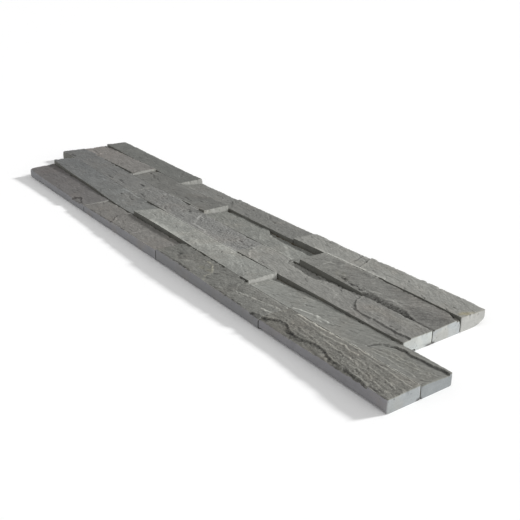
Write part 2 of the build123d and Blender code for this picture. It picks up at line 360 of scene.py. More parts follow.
MARKS = [
    # Row 1: the small chip in the front edge is shallow
    Mark([(-147, -72), (-130, -73)], 7, 0.4, 0.2, soft=1.0),
    # Row 1: the vein and crushed lines near the joint, and the ridges of the streaked strip
    Mark([(-128.8, -46.6), (-123.7, -51.6), (-124.6, -57.5)], 1.6, pale=0.5),
    Mark([(-73.3, -62.9), (-77.9, -54), (-73.9, -47.1)], 1.6, -0.4, -0.5),
    Mark([(-46, -58.1), (-42.1, -62.2)], 1.5, pale=0.5),
    Mark([(-23.7, -53.0), (-22.5, -69.8)], 1.5, 0.1, 0.7),
    Mark([(-6.9, -54.9), (-4.4, -68.3)], 1.5, pale=0.4),
    Mark([(-110, -72.9), (-72, -73), (-33, -73.1)], 1.4, -0.3, -0.5),
    Mark([(-30, -73), (-2, -73)], 1.2, -0.2, -0.4),
    Mark([(37, -72.9), (59, -72.7)], 1.4, -0.3, -0.5),
    Mark([(141, -73), (162, -73.2)], 1.2, -0.3, -0.5),
    Mark(
        [(78.5, -49.6), (86.8, -50.5), (96.9, -56.3), (101, -61.3), (103.5, -68), (106.9, -72.2)],
        1.6, 0.2, 0.9, 0.25,
    ),
    Mark([(84, -60), (94, -58.5)], 5, ochre=0.3, rough=0.1),
    Mark([(59, -72.6), (86, -72.8)], 1.6, -0.5, -0.6),
    Mark([(62, -66), (70, -62), (78, -61)], 3, pale=0.5),
    Mark([(76, -52), (90, -53)], 2.2, 0.1, 0.6),
    Mark([(48, -60), (60, -64)], 5, -0.3, -0.6, rough=0.1),
    Mark([(118, -72.8), (141, -73)], 1.4, -0.3, -0.5),
    Mark([(128, -56), (134, -66)], 5, -0.15, -0.3),
    Mark(
        [(141.1, -61.6), (149.5, -59.1), (162.8, -56.6), (172.9, -54), (179.6, -52), (187.9, -53.7)],
        1.6, 0.3, 1.4,
    ),
    Mark([(176.2, -63.2), (186.3, -60.7), (187.9, -72.5)], 1.6, 0.25, 1.4),
    # The back arris of the streaked strip, painted pale as a highlight where it catches the light
    Mark([(140, -45.6), (165, -45.2), (190, -45.4)], 1.3, pale=0.9),
    # The low strip in front of the ledge, raised and painted lighter against the ledge's shadow
    Mark([(256, -71.5), (280, -72.8), (300, -73.4)], 4.5, 0.9, 0.3),
    Mark([(222, -67), (240, -69.5), (256, -67)], 5, soft=0.7),
    Mark([(262, -67), (282, -69.5), (304, -71.5)], 4, soft=0.5),
    Mark([(300, -72), (312, -72.6), (322, -73.2)], 1.3, -0.5, -0.4),
    Mark([(256, -60), (288, -63), (320, -66)], 11, rough=0.09),
    Mark(
        [(199, -46), (212.4, -46), (229, -46), (237.4, -45.7), (247.5, -44.6), (262, -44.5), (278.3, -44.5)],
        1.6, 0.4, 2.4,
    ),
    Mark(
        [(231.7, -50.8), (237.6, -52), (244.3, -51.3), (255.9, -49.2), (260.9, -51.3), (271, -52)],
        1.3, 0.4, 1.2,
    ),
    Mark([(281.1, -44.5), (301.1, -44.5), (321.1, -44.5)], 1.5, 0.2, 1.5),
    Mark([(197.5, -49.2), (217.6, -50.3), (235.9, -52.5)], 1.2, 0.35, 0.6),
    Mark([(204.2, -58.3), (224.2, -60), (242.6, -62.5)], 1.2, 0.35, 0.4),
    Mark([(242.6, -56.7), (262.6, -58.3), (281, -60)], 1.2, 0.35, 0.7),
    Mark([(267.6, -47.5), (287.6, -48.7), (304.3, -50), (321, -51.7)], 1.2, 0.35, 0.7),
    Mark([(274.3, -55), (294.3, -57), (317.7, -60.8)], 1.2, 0.4, 0.7),
    Mark([(281, -64.2), (301, -65.9), (319.3, -68.4)], 1.2, 0.35, 0.5),
    Mark([(190, -68), (204, -63), (229, -66), (246, -65), (266, -67), (293, -71), (320, -73)], 8, rough=0.12),
    Mark([(210, -56), (250, -58), (290, -60), (320, -62)], 12, rough=0.06),
    # Row 2: a pit and flecks, the whitened front edge, pale patches, crushed lines and small ledges
    Mark([(-135.6, -25.7), (-134.6, -25.4)], 2.0, -0.9, -0.6),
    Mark([(-146, -17), (-130, -16.5), (-112, -17)], 1.8, 0.2, 0.7),
    Mark([(-124, -22), (-112, -24)], 1.6, -0.3, -0.4),
    Mark([(-176, -30), (-158, -24)], 9, pale=-0.12),
    Mark([(-118, -33), (-104, -37)], 2.5, 0.1, 0.4),
    Mark([(-147.9, -16), (-145.6, -20.2)], 1.6, 0.1, 0.6),
    Mark([(-34, -41.8), (-19.2, -41.5), (-2.6, -42), (14, -42)], 7, pale=0.8, rough=0.05),
    Mark([(30, -33), (52.4, -29.4)], 9, pale=0.5, rough=0.1),
    Mark([(52, -19.3), (68, -18.4)], 7, pale=0.7, rough=0.08),
    Mark([(73.9, -24), (90.6, -27.3)], 5, pale=0.4),
    Mark(
        [(187.5, -41.1), (192.5, -38.6), (199.2, -37.3), (209.3, -34.9), (216, -34.6), (221.3, -35.6)],
        1.5, 0.35, 1.5,
    ),
    Mark([(207.6, -35.3), (217.6, -38.9)], 1.6, 0.2, 0.8),
    Mark(
        [(264.5, -35.7), (264.2, -30.7), (266.7, -26.5), (270.9, -23.1), (275.9, -20.6), (282.6, -19.4)],
        1.3, -0.7, -0.35,
    ),
    Mark([(268.8, -35.3), (278.9, -33.7), (289, -32.5), (302.4, -31.5), (309.1, -29.8)], 1.2, 0.35, 0.5),
    Mark([(278.9, -27.8), (292.3, -28.6), (305.8, -26.1), (319.2, -26.1)], 1.2, 0.3, 0.3),
    Mark([(302.4, -26.5), (312.5, -26.1), (315, -24.8)], 1.1, -0.5, -0.3),
    Mark([(272.2, -38.7), (289, -37), (312.5, -39.5)], 1.2, 0.3, 0.3),
    Mark([(280, -31), (316, -31)], 10, ochre=0.08, rough=0.11),
    # Row 3: spots and short scars, the coarse patch, and a small arc
    Mark([(-301.3, -10.6), (-293, -11)], 2.4, -0.5, -0.7),
    Mark([(-200.5, -9.5), (-188.8, -9.5)], 2.0, -0.4, -0.6),
    Mark([(-177.7, -5.9), (-166, -7.6)], 2.2, -0.4, -0.6),
    Mark([(-150.1, 6.2), (-143.4, 6.2)], 2.2, -0.6, -0.7),
    Mark([(-122.7, -8.3), (-109.3, -10)], 2.0, -0.3, -0.5),
    Mark([(-72, -8), (-66, -11)], 2.0, -0.4, -0.6),
    Mark([(-50, 8), (-40, 5)], 2.2, -0.4, -0.6),
    Mark([(-29.3, 9.7), (-20.9, -0.4), (-14.2, -7.1), (-7.5, -8.8), (6, -8.8), (12.7, -12.1)], 1.8, 0.2, 0.9),
    Mark([(20, 3), (66, 0.0)], 12, -0.15, -0.12, rough=0.3),
    Mark([(75.2, -3.1), (81, -7.3), (89.4, -13.2)], 1.6, 0.2, 0.9),
    Mark([(253.8, -3.7), (257.2, -2.9), (260.5, -5)], 1.1, -0.4, -0.3),
    Mark([(225, 6), (270, 8)], 8, rough=0.07, ochre=0.08),
    Mark([(204, 9), (206, 2), (214, -4), (226, -6), (238, -5), (250, -4), (262, -4)], 5, soft=0.3),
    # Row 4: scars, pale breaks, a brownish patch and coarse places by the broken corner
    Mark([(-314.7, 23.3), (-291.3, 20.8)], 2.2, -0.3, -0.3),
    Mark([(-185.6, 35.7), (-173.9, 34.9), (-163.8, 30.7)], 2.2, -0.5, -0.2),
    Mark([(-162.1, 32.4), (-148.7, 28.2)], 1.8, -0.4, -0.2),
    Mark([(-84.1, 25), (-70.7, 22.5)], 1.8, -0.4, -0.2),
    Mark([(-30, 33.1), (-18.2, 23)], 2.0, pale=0.4),
    # Two holes at the back by the joints, deepened and painted dark as shade
    Mark([(-187, 44.6), (-183.5, 45.2)], 2.2, -1.2, -1.1),
    Mark([(-32, 44.4), (-28, 45)], 2.4, -1.2, -1.1),
    Mark([(80.5, 32.5), (92.3, 25.8), (109.1, 15.7)], 2.2, pale=0.8),
    Mark([(72.5, 16.8), (92.7, 16.8), (111.2, 17.2)], 1.8, pale=0.4),
    Mark([(141.4, 34.8), (142.2, 26.5)], 1.5, 0.1, 0.8),
    Mark([(38, 36), (44, 30), (66, 13)], 7, pale=0.15, soft=1.2),
    Mark([(43, 31), (56, 21)], 1.6, 0.1, 0.5),
    Mark([(163, 26.5), (174.6, 23.1)], 7, ochre=0.12),
    Mark([(146, 38), (154, 40)], 6, pale=-0.25),
    Mark([(168, 23), (182, 20), (196, 19)], 3, -0.3, -0.6, rough=0.3),
    Mark([(169.3, 20.9), (200.9, 20.9)], 6, rough=0.15),
    Mark([(200, 20), (225, 20), (248, 18)], 8, rough=0.15),
    Mark([(201.6, 25), (225, 26), (244.9, 24)], 2.5, 0.2, 0.4),
    Mark([(193.6, 37), (208.6, 32), (224, 29), (240, 37), (255, 43)], 7, pale=0.25),
    Mark([(243, 24), (262, 28), (276, 33)], 11, pale=-0.4),
    Mark([(250, 16.6), (276, 16.6)], 1.6, -0.7, -0.3),
    Mark([(142, 45.2), (192, 45.2)], 6, 0.45),
    Mark([(243.7, 41.4), (250.3, 41.8)], 3, pale=0.5),
    # Row 5: marks on the low strip, a crack, flecks, and the stain at the right end
    Mark([(-165.4, 69), (-157, 62.3), (-148.7, 55.6)], 2.4, -0.3, -0.2),
    Mark([(-156.2, 54.8), (-154.5, 54.3)], 1.5, 0.1, 0.8),
    Mark([(-46, 64), (-41, 58), (-26, 47)], 6, soft=1.2),
    Mark([(5.4, 69.9), (15.5, 63.1)], 1.8, -0.3, -0.2),
    Mark([(21, 61.1), (29.5, 59.4)], 1.8, -0.4, -0.3),
    Mark([(141.8, 71.6), (145.1, 65.8), (148.5, 55.8)], 1.8, -0.5, -0.3),
    Mark([(216.4, 61), (228, 56)], 3.5, pale=0.35, rough=0.06),
    Mark([(273, 51), (276, 58)], 4.5, ochre=0.7),
    # The arrises along the seams, painted pale as highlights where they catch the light
    Mark([(104.7, 47), (141.3, 47), (190, 47)], 3.0, pale=0.8),
    Mark([(-103.1, 16.4), (-58, 16.4)], 2.4, pale=0.9),
    Mark([(-75.6, 16.4), (-42, 16.4)], 2.4, pale=0.8),
    Mark([(-67.5, -14), (-10.4, -14), (68.6, -14.2)], 2.4, pale=0.8),
    Mark([(-149.6, -14), (-123.6, -14)], 2.2, pale=0.9),
]


def distance_to_line(x, y, line):
    """Distance from each point to a line of straight pieces."""
    nearest = np.full(x.shape, np.inf)
    for (ax, ay), (bx, by) in zip(line[:-1], line[1:]):
        dx, dy = bx - ax, by - ay
        share = np.clip(((x - ax) * dx + (y - ay) * dy) / (dx * dx + dy * dy), 0, 1)
        nearest = np.minimum(nearest, np.hypot(x - ax - share * dx, y - ay - share * dy))
    return nearest


def flaws(low, high, style, seed):
    """Small scattered flecks and scars that lie roughly along the strip's streaks."""
    chance = np.random.default_rng(seed)
    made = []
    for _ in range(int((high[0] - low[0]) * (high[1] - low[1]) / FLAW_AREA)):
        x, y = chance.uniform(low[0], high[0]), chance.uniform(low[1], high[1])
        turn = math.radians(style.angle) + chance.normal(0, 0.35)
        reach = chance.uniform(*FLAW_REACH)
        dx, dy = reach * math.cos(turn), reach * math.sin(turn)
        bow = chance.normal(0, 0.2)
        line = [(x - dx, y - dy), (x - bow * dy, y + bow * dx), (x + dx, y + dy)]
        width = chance.uniform(*FLAW_WIDTH)
        strength = chance.uniform(*FLAW_STRENGTH)
        if chance.random() < FLAWS_PALE:
            made.append(Mark(line, width, 0.1, strength))
        else:
            made.append(Mark(line, width, -0.2, -0.8 * strength))
    return made


def out_of_reach(mark, x, y):
    """Whether a mark lies clear of a grid."""
    reach = mark.width + 3
    for line, grid in zip(zip(*mark.line), (x, y)):
        if min(line) - reach > grid.max() or max(line) + reach < grid.min():
            return True
    return False


def marked(x, y, seed, marks):
    """The marks that reach this strip, as sums of each of their properties over the grid."""
    wx = x + 0.9 * fractal(x / 7, y / 7, seed + Pattern.MARK_SHIFT_X, 4)
    wy = y + 0.9 * fractal(x / 7, y / 7, seed + Pattern.MARK_SHIFT_Y, 4)
    uneven = np.clip(0.75 + 0.7 * noise(x / 4, y / 4, seed + Pattern.MARK_FADE), 0.1, 1.3)
    sums = {name: np.zeros_like(x) for name in MARK_SUMS}
    for mark in marks:
        if out_of_reach(mark, x, y):
            continue
        share = uneven * smoothstep(1.0, 0.2, distance_to_line(wx, wy, mark.line) / mark.width)
        for name in sums:
            sums[name] += share * getattr(mark, name)
    return sums


def smoothed(field, passes):
    """A field blurred by repeated three-point averages along both axes."""
    for _ in range(passes):
        for axis in (0, 1):
            padded = np.pad(field, [(1, 1) if a == axis else (0, 0) for a in (0, 1)], mode="edge")
            before = padded.take(range(0, padded.shape[axis] - 2), axis)
            after = padded.take(range(2, padded.shape[axis]), axis)
            field = 0.25 * before + 0.5 * field + 0.25 * after
    return field


def riven_relief(x, y, style, rough, seed):
    """Height of the cleft relief, and each point's place across its streaks. The patterns are drawn out along
    the streaks (s) and narrow across them (t)."""
    turn = math.radians(style.angle)
    s = x * math.cos(turn) + y * math.sin(turn)
    t = y * math.cos(turn) - x * math.sin(turn)
    across = t + 5.0 * noise(s / 42, t / 22, seed + Pattern.BEND)
    swell = 0.22 * fractal(s / 60, t / 26, seed + Pattern.SWELL, 2)
    layers = style.layer * terraces(1.5 * fractal(s / 60, across / 24, seed + Pattern.LAYERS, 4))
    scuffs = style.scuff * terraces(1.4 * fractal(s / 17, t / 9, seed + Pattern.SCUFFS, 3))
    ridges = 1 - 2 * np.abs(fractal(s / 30, across / 3.6, seed + Pattern.RIDGES, 4))
    ridges *= 0.25 + 1.3 * smoothstep(-0.5, 0.5, noise(s / 13, t / 5, seed + Pattern.RIDGE_GAPS))
    patches = smoothstep(-0.5, 0.5, noise(s / 24, t / 14, seed + Pattern.PATCHES))
    grain = noise(x / 3.0, y / 2.6, seed + Pattern.GRAIN)
    grain += 0.8 * noise(x / 1.5, y / 1.4, seed + Pattern.FINE_GRAIN)
    grain *= style.grain * (0.6 + 0.8 * patches) + rough
    return swell + layers + scuffs + style.streak * ridges + grain, across


def sides_of(x, y, low, high):
    """Each side of a strip, with the distance from it and the place along it."""
    return (
        (LEFT, x - low[0], y),
        (RIGHT, high[0] - x, y),
        (FRONT, y - low[1], x),
        (BACK, high[1] - y, x),
    )


def edge_noise(along, side, seed):
    """Chips, fine unevenness and slow change along one side of a strip."""
    line = np.full_like(along, 0.5 + side)
    chip = noise(along / 6.5, line, seed + Pattern.CHIPS)
    chip += 0.5 * noise(along / 2.6, line, seed + Pattern.SMALL_CHIPS)
    fine = noise(along / 1.7, line, seed + Pattern.EDGE_FINE)
    slow = noise(along / 30, line, seed + Pattern.EDGE_SLOW)
    return chip, fine, slow


def seam_at(row, side):
    """The seam along one side of a strip, by the row in front of it, or 0 at the strip's ends."""
    return {FRONT: row - 1, BACK: row}.get(side, 0)


def closed_share(row, side, along):
    """From 0 to 1, how nearly closed the seam is at places along one side of a strip in this row."""
    share = np.zeros_like(along)
    for start, end, closed in CLOSED_SEAMS.get(seam_at(row, side), ()):
        inside = np.minimum(along - start, end - along)
        share = np.maximum(share, closed * smoothstep(0, SEAM_FADE, inside))
    return share


def flush_move(row, side, x, y, top):
    """How far to move one side's edge towards the next row's: half way where their seam is closed, and a
    smaller share elsewhere."""
    share = np.maximum(closed_share(row, side, x), STEP_EASE.get(seam_at(row, side), 0))
    move = np.zeros_like(x)
    step = -1 if side == FRONT else 1
    others = [(name, *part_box(name)) for name in STRIPS if name.startswith(f"row_{row + step}")]
    for n in np.flatnonzero(share):
        for name, low, high in others:
            if low[0] < x[n] * MM < high[0]:
                hit = ray_hit(TREES[name], x[n], y[n] + step * FLUSH_PAST)
                if hit:
                    half = (hit.z / MM - top[n]) / 2
                    move[n] = share[n] * np.clip(half, -FLUSH_MOST, FLUSH_MOST)
    return move


def frayed(x, y, low, high, seed, row):
    """The grid with its edges broken back a little from the sawn sides."""
    moved_x, moved_y = x.copy(), y.copy()
    for side, distance, along in sides_of(x, y, low, high):
        chip, fine, slow = edge_noise(along, side, seed)
        back = 0.10 + 0.08 * fine + 0.9 * above(chip, 0.2)
        if (row, side) == ROUGH_EDGE:
            back = 0.5 + 0.1 * fine + 0.5 * slow + 0.5 * above(chip)
        closed = closed_share(row, side, along)
        back = back * (1 - closed) - SEAM_FILL * closed
        moved = moved_x if side in (LEFT, RIGHT) else moved_y
        moved += (1 if side in (LEFT, FRONT) else -1) * back * fading(distance, FRAY_REACH)
    return moved_x, moved_y


def edge_wear(x, y, low, high, seed, row):
    """How far the riven face drops along its sawn edges, and how pale it is there: bruised stone, with a
    painted highlight along the arrises.
    """
    drop = np.zeros_like(x)
    pale = np.zeros_like(x)
    for side, distance, along in sides_of(x, y, low, high):
        chip, fine, slow = edge_noise(along, side, seed)
        depth = 0.05 + 0.04 * fine + 0.7 * above(chip, 0.25)
        reach = 0.6 + 0.2 * fine + 2.2 * above(chip, 0.2)
        if (row, side) == ROUGH_EDGE:
            depth = 0.15 + 0.1 * fine + 0.6 * above(chip, 0.1)
            reach = 1.6 + 0.4 * fine + 1.5 * above(chip)
        depth *= 1 - closed_share(row, side, along)
        drop += depth * fading(distance, reach) ** 1.5
        # The pale rim: partly bruised stone, partly a painted highlight where the arrises catch the light
        width = np.maximum(1.1 + 0.5 * fine + 0.6 * slow, 0.3)
        bruise_and_highlight = smoothstep(-0.1, 0.7, slow + 0.5 * fine + 0.3 * chip)
        pale += bruise_and_highlight * fading(distance, width)
    return drop, np.clip(pale, 0, 1)


def inset(values, low, high):
    """Values kept a little inside a strip's sides, where rays are sure to meet it."""
    return np.clip(values, low + SIDE_INSET, high - SIDE_INSET)


def cad_heights(node, x, y, low, high, seed):
    """The CAD strip's riven face over a grid, with its steps made uneven away from the edges."""
    inside = np.minimum.reduce([distance for _, distance, _ in sides_of(x, y, low, high)])
    calm = smoothstep(0.0, CALM_REACH, inside)
    shift_x = 1.2 * noise(x / 9, y / 7, seed + Pattern.SHIFT_X)
    shift_x += 0.6 * noise(x / 3, y / 3, seed + Pattern.SMALL_SHIFT_X)
    shift_y = 0.8 * noise(x / 9, y / 7, seed + Pattern.SHIFT_Y)
    shift_y += 0.5 * noise(x / 3, y / 3, seed + Pattern.SMALL_SHIFT_Y)
    wx = inset(x + calm * shift_x, low[0], high[0])
    wy = inset(y + calm * shift_y, low[1], high[1])
    return cast_heights(TREES[node], wx, wy)


@dataclass
class Surface:
    """A strip's box, its grid before and after fraying, its riven heights, and masks for its colour."""

    low: np.ndarray
    high: np.ndarray
    sawn_x: np.ndarray
    sawn_y: np.ndarray
    x: np.ndarray
    y: np.ndarray
    top: np.ndarray
    masks: dict


def stone_surface(node, row, seed):
    """A strip's riven face: the CAD strip's heights, worn edges, marks and fine relief."""
    style = STYLES[node]
    low, high = (np.array(corner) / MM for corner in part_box(node))
    nx, ny = (COARSE * max(2, round(size / CELL / COARSE)) for size in (high - low)[:2])
    sawn_x, sawn_y = np.meshgrid(
        np.linspace(low[0], high[0], nx + 1), np.linspace(low[1], high[1], ny + 1)
    )
    x, y = frayed(sawn_x, sawn_y, low, high, seed, row)
    marks = marked(x, y, seed, MARKS + flaws(low, high, style, seed))
    top = cad_heights(node, x, y, low, high, seed)
    top += np.clip(marks["soft"], 0, 1) * (smoothed(top, 40) - top)
    cell_y, cell_x = (high[1] - low[1]) / ny, (high[0] - low[0]) / nx
    steep = np.hypot(*np.gradient(smoothed(top, 3), cell_y, cell_x))
    broken = smoothstep(0.2, 0.5, steep)
    relief, across = riven_relief(x, y, style, marks["rough"] + 0.16 * broken, seed)
    drop, pale = edge_wear(sawn_x, sawn_y, low, high, seed, row)
    for side, distance, along in sides_of(sawn_x, sawn_y, low, high):
        if side in (FRONT, BACK):
            edge = 0 if side == FRONT else ny
            near = fading(distance, FLUSH_REACH)
            top += near**1.5 * flush_move(row, side, x[edge], y[edge], top[edge].copy())
            relief *= 1 - near * closed_share(row, side, along)
    top += relief + marks["height"] - drop
    # Painted shade and highlight: darker where the face dips below its surroundings, lighter where it rises
    # above them
    hollow = top - smoothed(top, 12)
    masks = {
        "pale": np.clip(0.5 * pale + marks["pale"], -0.7, 2.4),
        "grit": np.clip(style.grain / GRAIN_FULL + 3 * marks["rough"], 0.3, 1.6),
        "ochre": np.clip(marks["ochre"], 0, 1),
        "hollow": np.clip(hollow / RELIEF_SHADE_FULL, -1, 1),
        "broken": broken,
        "striae": np.full_like(x, style.striae),
        "along": sawn_x * MM,
        "across": across * MM,
        "rightward": (x - low[0]) / (high[0] - low[0]),
    }
    return Surface(low, high, sawn_x, sawn_y, x, y, top, masks)


def rounded(distance, radius):
    """How far a round corner lies inside the square one, at a distance from the corner."""
    return radius - math.sqrt(radius**2 - (radius - distance) ** 2)


def round_corners(row, surface, xs, ys, ring):
    """Moves the edge points near a right end's two upright corners onto small rounds."""
    low, high = surface.low, surface.high
    ny, nx = (size - 1 for size in surface.x.shape)
    for side, corner_y, edge, inward in ((FRONT, low[1], 0, 1), (BACK, high[1], ny, -1)):
        radius = CORNER_ROUND if (row, side) in OPEN_CORNERS else SEAM_ROUND
        for n, (i, j) in enumerate(ring):
            on_end, on_side = i == nx, j == edge
            from_side, from_end = abs(ys[n] - corner_y), high[0] - xs[n]
            at_corner = on_end and on_side
            if on_end and from_side < radius:
                move = CORNER_INSET * radius if at_corner else rounded(from_side, radius)
                xs[n] -= move
                surface.x[j, i] -= move
            if on_side and from_end < radius:
                move = CORNER_INSET * radius if at_corner else rounded(from_end, radius)
                ys[n] += inward * move
                surface.y[j, i] += inward * move


def gap_shade_spots(row, low, high, wall_y, at_end):
    """From 0 to 1 around the edge, how much painted shade shows at the foot of a right end, where a gap lies
    in shadow.
    """
    spots = np.zeros(len(wall_y))
    if row in GAP_SHADE_SPOTS:
        spots = smoothstep(1.0, 0.4, np.abs(high[1] - wall_y) / GAP_SHADE_SPOTS[row])
    if row - 1 in GAP_SHADE_SPOTS:
        spots = smoothstep(1.0, 0.4, np.abs(wall_y - low[1]) / (GAP_SHADE_BEHIND * GAP_SHADE_SPOTS[row - 1]))
    return np.where(at_end, spots, 0.0)


def tops_beside(node, low, high, wall_y, ring, nx):
    """Around the edge, the top of the next strip of the row at a joint, and 0 elsewhere."""
    tops = np.zeros(len(ring))
    for step, edge, end_x in ((-1, 0, low[0]), (1, nx, high[0])):
        tree = TREES.get(node[:-1] + str(int(node[-1]) + step))
        if tree:
            at_joint = np.array([i == edge for i, _ in ring])
            beside_x = np.full(at_joint.sum(), end_x + step * JOINT_REACH)
            tops[at_joint] = cast_heights(tree, beside_x, wall_y[at_joint])
    return tops


def stone_faces(nx, ny, ring):
    """A stone's faces and the kind of each: the riven grid, the sawn sides and the coarse underside."""
    grid = np.arange((nx + 1) * (ny + 1)).reshape(ny + 1, nx + 1)
    corners = [grid[:-1, :-1], grid[:-1, 1:], grid[1:, 1:], grid[1:, :-1]]
    faces = np.stack(corners, -1).reshape(-1, 4).tolist()
    kinds = [RIVEN] * len(faces)

    count = len(ring)
    wall_ids = grid.size + np.arange(WALL_ROWS * count).reshape(WALL_ROWS, count)
    rings = [around(grid, ring).tolist()] + wall_ids.tolist()
    for upper, lower in zip(rings[:-1], rings[1:]):
        for n in range(count):
            m = (n + 1) % count
            faces.append((upper[m], upper[n], lower[n], lower[m]))
        kinds += [SIDE] * nx + [RIGHT_END] * ny + [SIDE] * nx + [LEFT_END] * ny

    under = dict(zip(ring, rings[-1]))
    inner = [(i, j) for j in range(COARSE, ny, COARSE) for i in range(COARSE, nx, COARSE)]
    under.update((place, grid.size + wall_ids.size + n) for n, place in enumerate(inner))
    for j in range(0, ny, COARSE):
        for i in range(0, nx, COARSE):
            path = [(i, j + n) for n in range(COARSE)]
            path += [(i + n, j + COARSE) for n in range(COARSE)]
            path += [(i + COARSE, j + COARSE - n) for n in range(COARSE)]
            path += [(i + COARSE - n, j) for n in range(COARSE)]
            faces.append(tuple(under[place] for place in path if place in under))
            kinds.append(SIDE)
    return faces, kinds


def stone_points(node, row, surface, ring):
    """A stone's points, with its masks and two more: the depth below a right end's top, and the painted shade
    at the foot of two seams and inside the joints."""
    low, high = surface.low, surface.high
    ny, nx = (size - 1 for size in surface.x.shape)
    outer = node in RIGHT_ENDS
    wall_x, wall_y = around(surface.sawn_x, ring), around(surface.sawn_y, ring)
    if outer:
        round_corners(row, surface, wall_x, wall_y, ring)
    rim_x, rim_y = around(surface.x, ring), around(surface.y, ring)
    rim_top = around(surface.top, ring)
    cast_x, cast_y = inset(wall_x, low[0], high[0]), inset(wall_y, low[1], high[1])
    rim_low = cast_heights(TREES[node], cast_x, cast_y, from_above=False)
    rim_low = np.minimum(rim_low, rim_top - LEAST_WALL)
    at_end = np.array([outer and i == nx for i, _ in ring])
    spots = gap_shade_spots(row, low, high, wall_y, at_end)
    beside = tops_beside(node, low, high, cast_y, ring, nx)

    points = [np.column_stack([surface.x.ravel(), surface.y.ravel(), surface.top.ravel()])]
    rim_below = np.full(surface.x.shape, FAR_BELOW)
    if outer:
        rim_below[:, nx] = 0
    below = [rim_below.ravel()]
    glue = [np.zeros(surface.x.size)]
    for k in range(1, WALL_ROWS + 1):
        share = k / WALL_ROWS
        whole = float(smoothstep(0.0, FRAY_WALL_SHARE, share))
        depth = (rim_top - rim_low) * share
        height = rim_top - depth
        row_x = rim_x + (wall_x - rim_x) * whole
        row_y = rim_y + (wall_y - rim_y) * whole
        points.append(np.column_stack([row_x, row_y, height]))
        below.append(np.where(at_end, depth, FAR_BELOW))
        # Painted shade: at the foot of two seams on the right ends, and inside the joints below the next
        # strip's top
        foot = spots * smoothstep(GAP_SHADE_HEIGHT, GAP_SHADE_FULL, height)
        glue.append(np.maximum(foot, smoothstep(JOINT_SHADE_START, JOINT_SHADE_FULL, beside - height)))

    inner_x, inner_y = np.meshgrid(
        surface.sawn_x[0, COARSE:nx:COARSE], surface.sawn_y[COARSE:ny:COARSE, 0]
    )
    inner_z = cast_heights(TREES[node], inner_x, inner_y, from_above=False)
    points.append(np.column_stack([inner_x.ravel(), inner_y.ravel(), inner_z.ravel()]))
    below.append(np.full(inner_z.size, FAR_BELOW))
    glue.append(np.zeros(inner_z.size))

    points = np.vstack(points)
    plain = np.zeros(len(points) - surface.x.size)
    values = {name: np.concatenate([field.ravel(), plain]) for name, field in surface.masks.items()}
    values |= {"below_top": np.concatenate(below), "glue": np.concatenate(glue)}
    return points, values


def face_tints(node, row, kinds):
    """Each face's colour, and the colour that it goes over to at the strip's right end."""
    style = STYLES[node]
    side = FRONT_TINTS[int(node[-1]) - 1] if row == 1 else SIDE_TINT
    joint = OTHER_JOINTS.get(node, JOINT_TINT)
    right_end = END_TINTS[row - 1] if node in RIGHT_ENDS else joint
    tints = {RIVEN: style.left, SIDE: side, LEFT_END: joint, RIGHT_END: right_end}
    tints = np.array([srgb(*tints[kind]) for kind in range(len(tints))])
    return {"tint": tints[kinds].ravel(), "right_tint": np.tile(srgb(*style.right), len(kinds))}


def build_stone(node, seed, materials):
    """One stone, as a piece in its CAD strip's place."""
    row = int(node[4])
    surface = stone_surface(node, row, seed)
    ny, nx = (size - 1 for size in surface.x.shape)
    ring = ring_of(nx, ny)
    points, values = stone_points(node, row, surface, ring)
    faces, kinds = stone_faces(nx, ny, ring)

    mesh = bpy.data.meshes.new("slate_" + node)
    mesh.from_pydata((points * MM).tolist(), [], faces)
    mesh.polygons.foreach_set("material_index", [0 if kind == RIVEN else 1 for kind in kinds])
    mesh.polygons.foreach_set("use_smooth", [True] * len(kinds))
    mesh.set_sharp_from_angle(angle=math.radians(SHARP_DEGREES))
    for material in materials:
        mesh.materials.append(material)
    mesh.update()
    for name, numbers in values.items():
        mesh.attributes.new(name, "FLOAT", "POINT").data.foreach_set("value", numbers)
    for name, colours in face_tints(node, row, kinds).items():
        mesh.attributes.new(name, "FLOAT_COLOR", "FACE").data.foreach_set("color", colours)
    stone = bpy.data.objects.new("slate_" + node, mesh)
    bpy.context.scene.collection.objects.link(stone)
    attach(stone, "root")
    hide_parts(node)


def srgb(r, g, b):
    """A linear colour from 8-bit sRGB values."""
    channels = []
    for value in (r, g, b):
        c = value / 255
        channels.append(c / 12.92 if c <= 0.04045 else ((c + 0.055) / 1.055) ** 2.4)
    return (*channels, 1.0)


def new_material(name):
    material = bpy.data.materials.new(name)
    material.use_nodes = True
    tree = material.node_tree
    return material, tree, tree.nodes["Principled BSDF"]


def add_node(tree, kind, sockets=None, **settings):
    """A node with its settings, its inputs given as values or as other nodes' outputs."""
    made = tree.nodes.new("ShaderNode" + kind)
    for name, value in settings.items():
        setattr(made, name, value)
    for socket, value in (sockets or {}).items():
        if isinstance(value, bpy.types.NodeSocket):
            tree.links.new(value, made.inputs[socket])
        else:
            made.inputs[socket].default_value = value
    return made


def maths(tree, operation, a, b):
    return add_node(tree, "Math", {0: a, 1: b}, operation=operation).outputs[0]


def times(tree, a, b):
    return maths(tree, "MULTIPLY", a, b)


def total(tree, first, *rest):
    for value in rest:
        first = maths(tree, "ADD", first, value)
    return first


def centred(tree, value, strength):
    """A noise value moved to vary about 0, times a strength."""
    return times(tree, maths(tree, "SUBTRACT", value, 0.5), strength)


def ranged(tree, value, low, high, most=1.0):
    """A value that rises from 0 at low to the most at high."""
    sockets = {"Value": value, "From Min": low, "From Max": high, "To Max": most}
    return add_node(tree, "MapRange", sockets).outputs[0]


def mixed(tree, share, a, b):
    """A colour between a and b."""
    return add_node(tree, "Mix", {0: share, 6: a, 7: b}, data_type="RGBA").outputs[2]


def brightened(tree, colour, value):
    return add_node(tree, "VectorMath", {0: colour, "Scale": value}, operation="SCALE").outputs[0]


